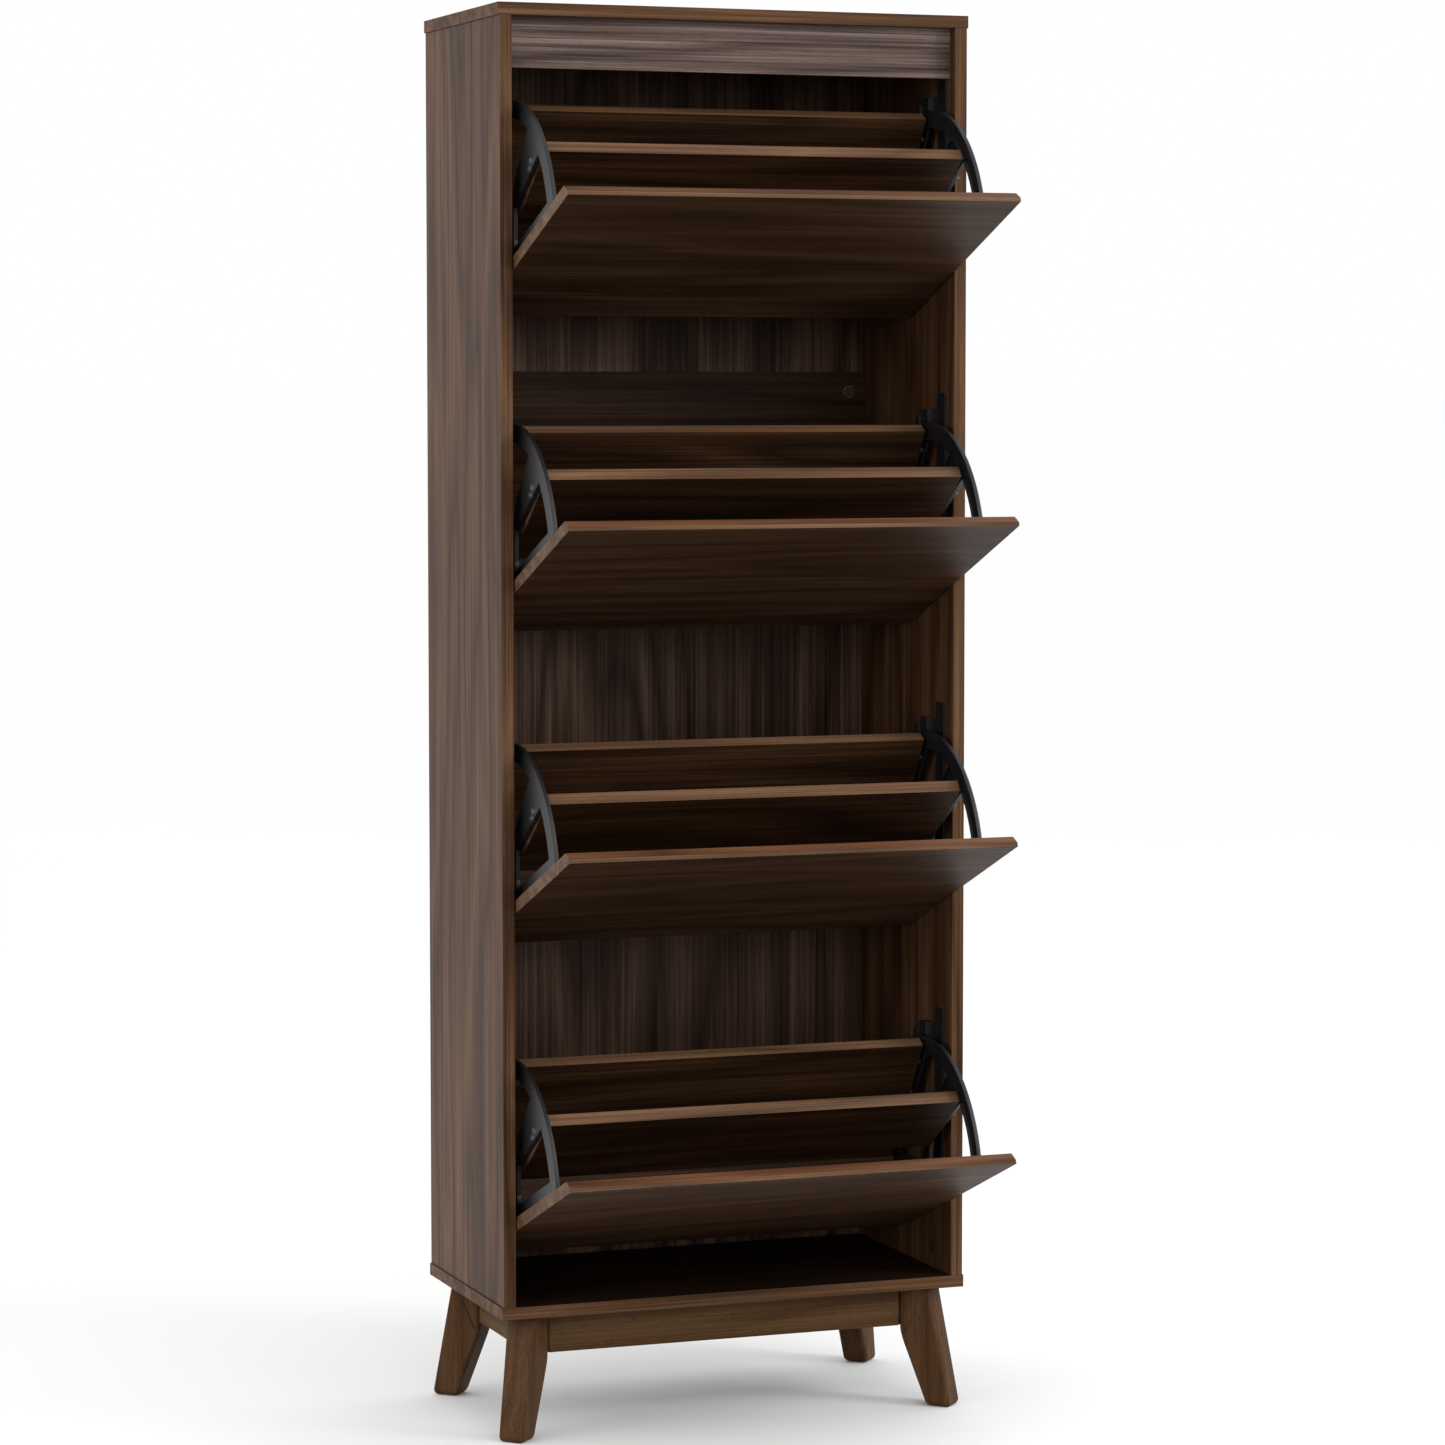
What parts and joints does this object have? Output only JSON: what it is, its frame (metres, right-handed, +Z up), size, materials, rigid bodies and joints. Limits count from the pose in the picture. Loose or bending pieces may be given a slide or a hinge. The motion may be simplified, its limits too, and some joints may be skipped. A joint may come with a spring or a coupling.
{
  "type": "shoe cabinet",
  "caption": "Tall narrow walnut-look shoe cabinet with tip-out bins on black fan-shaped pivot brackets, standing on splayed tapered legs.",
  "frame": {"origin": "on the floor, under the middle of the footprint with every bin tipped open", "axes": "+X to the cabinet's right seen from the front, +Y towards the back, +Z up"},
  "size_m": [0.6034, 0.5142, 1.715],
  "materials": {
    "walnut_board": "satin walnut-look laminate on chipboard",
    "back_board": "satin walnut-look hardboard",
    "solid_wood": "satin stained solid wood",
    "black_plastic": "satin moulded black plastic",
    "zinc_steel": "bright zinc-plated steel",
    "cover_plastic": "reddish brown plastic cover caps"
  },
  "bodies": {
    "carcass": {"top_panel": "walnut_board", "bottom_panel": "walnut_board", "side_left": "walnut_board", "side_right": "walnut_board", "back_panel": "back_board", "fascia_rail": "walnut_board", "rear_stretcher": "walnut_board", "apron_front": "walnut_board", "apron_rear": "walnut_board", "apron_left": "walnut_board", "apron_right": "walnut_board", "leg_front_left": "solid_wood", "leg_front_right": "solid_wood", "leg_rear_left": "solid_wood", "leg_rear_right": "solid_wood", "corner_plates": "zinc_steel", "leg_bolts": "zinc_steel", "cam_locks": "zinc_steel", "cam_covers": "cover_plastic", "back_nails": "zinc_steel", "plate_screws": "zinc_steel", "pivot_plate_1_left": "black_plastic", "pivot_plate_1_right": "black_plastic", "pivot_plate_2_left": "black_plastic", "pivot_plate_2_right": "black_plastic", "pivot_plate_3_left": "black_plastic", "pivot_plate_3_right": "black_plastic", "pivot_plate_4_left": "black_plastic", "pivot_plate_4_right": "black_plastic"},
    "bin1": {"bin1_door": "walnut_board", "bin1_divider": "walnut_board", "bin1_rear_board": "walnut_board", "bin1_floor_board": "walnut_board", "bin1_bracket_left": "black_plastic", "bin1_bracket_right": "black_plastic", "bin1_screws": "zinc_steel"},
    "bin2": {"bin2_door": "walnut_board", "bin2_divider": "walnut_board", "bin2_rear_board": "walnut_board", "bin2_floor_board": "walnut_board", "bin2_bracket_left": "black_plastic", "bin2_bracket_right": "black_plastic", "bin2_screws": "zinc_steel"},
    "bin3": {"bin3_door": "walnut_board", "bin3_divider": "walnut_board", "bin3_rear_board": "walnut_board", "bin3_floor_board": "walnut_board", "bin3_bracket_left": "black_plastic", "bin3_bracket_right": "black_plastic", "bin3_screws": "zinc_steel"},
    "bin4": {"bin4_door": "walnut_board", "bin4_divider": "walnut_board", "bin4_rear_board": "walnut_board", "bin4_floor_board": "walnut_board", "bin4_bracket_left": "black_plastic", "bin4_bracket_right": "black_plastic", "bin4_screws": "zinc_steel"}
  },
  "joints": [
    {"name": "bin1_hinge", "type": "hinge", "parent": "carcass", "child": "bin1", "pos_m": [0, -0.01011, 1.433], "axis": [-1, 0, 0], "range_deg": [0, 68.6]},
    {"name": "bin2_hinge", "type": "hinge", "parent": "carcass", "child": "bin2", "pos_m": [0, -0.01011, 1.0515], "axis": [-1, 0, 0], "range_deg": [0, 68.6]},
    {"name": "bin3_hinge", "type": "hinge", "parent": "carcass", "child": "bin3", "pos_m": [0, -0.01011, 0.67], "axis": [-1, 0, 0], "range_deg": [0, 68.6]},
    {"name": "bin4_hinge", "type": "hinge", "parent": "carcass", "child": "bin4", "pos_m": [0, -0.01011, 0.2885], "axis": [-1, 0, 0], "range_deg": [0, 68.6]}
  ]
}
